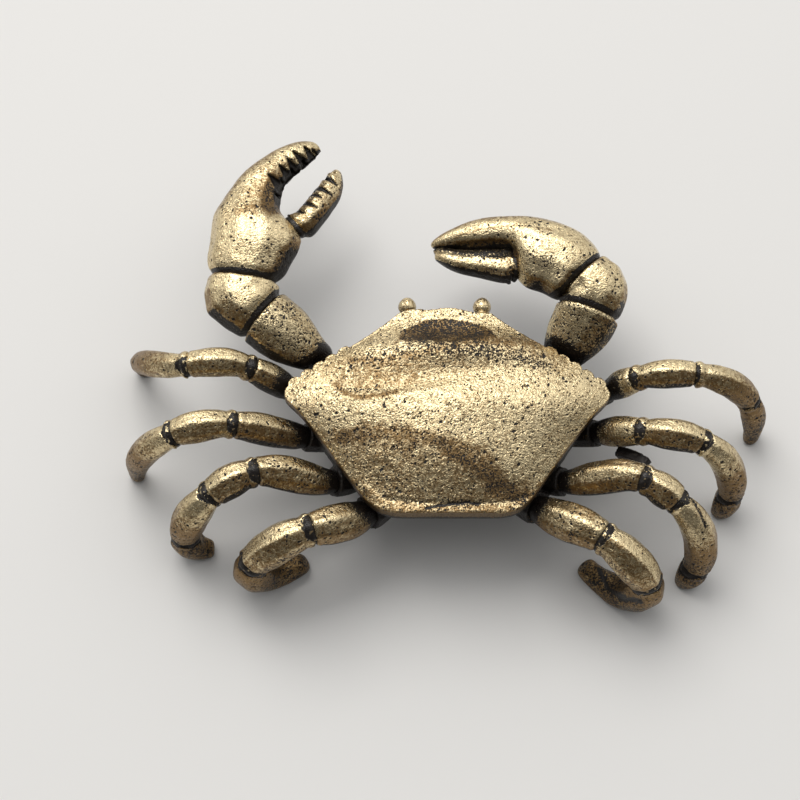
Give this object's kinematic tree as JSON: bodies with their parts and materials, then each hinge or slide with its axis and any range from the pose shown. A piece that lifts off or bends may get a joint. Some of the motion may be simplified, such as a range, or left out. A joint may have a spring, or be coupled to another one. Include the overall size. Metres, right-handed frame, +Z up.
{
  "type": "crab figurine",
  "caption": "Small cast brass swimming crab standing on its bent legs, one serrated claw raised open and the other folded shut across its front.",
  "frame": {"origin": "centre of the bounding box's bottom, on the table under the crab", "axes": "+Z up from the table, +Y the way the crab faces, +X to its right side as seen from behind"},
  "size_m": [0.0454, 0.0332, 0.0093],
  "materials": {
    "shell_brass": "polished high points over a dark pitted casting",
    "claw_brass": "polished high points, dark grooves",
    "leg_brass": "polished on top, darker below",
    "underside_brass": "dark unpolished casting"
  },
  "bodies": {
    "root": {"belly_flap": "underside_brass", "left_claw_arm": "claw_brass", "left_claw_finger": "claw_brass", "left_claw_palm": "claw_brass", "left_claw_wrist": "claw_brass", "left_eye": "shell_brass", "left_leg_1_shin": "leg_brass", "left_leg_1_thigh": "leg_brass", "left_leg_1_toe": "leg_brass", "left_leg_2_shin": "leg_brass", "left_leg_2_thigh": "leg_brass", "left_leg_2_toe": "leg_brass", "left_leg_3_shin": "leg_brass", "left_leg_3_thigh": "leg_brass", "left_leg_3_toe": "leg_brass", "left_leg_3_wrist": "leg_brass", "left_leg_4_shin": "leg_brass", "left_leg_4_thigh": "leg_brass", "left_leg_4_toe": "leg_brass", "left_mouth_plate": "underside_brass", "leg_bridge": "leg_brass", "right_claw_arm": "claw_brass", "right_claw_finger": "claw_brass", "right_claw_palm": "claw_brass", "right_claw_wrist": "claw_brass", "right_eye": "shell_brass", "right_leg_1_shin": "leg_brass", "right_leg_1_thigh": "leg_brass", "right_leg_1_toe": "leg_brass", "right_leg_1_wrist": "leg_brass", "right_leg_2_shin": "leg_brass", "right_leg_2_thigh": "leg_brass", "right_leg_2_toe": "leg_brass", "right_leg_2_wrist": "leg_brass", "right_leg_3_shin": "leg_brass", "right_leg_3_thigh": "leg_brass", "right_leg_3_toe": "leg_brass", "right_leg_3_wrist": "leg_brass", "right_leg_4_shin": "leg_brass", "right_leg_4_thigh": "leg_brass", "right_leg_4_toe": "leg_brass", "right_mouth_plate": "underside_brass", "shell": "shell_brass", "thorax": "underside_brass"}
  },
  "joints": []
}
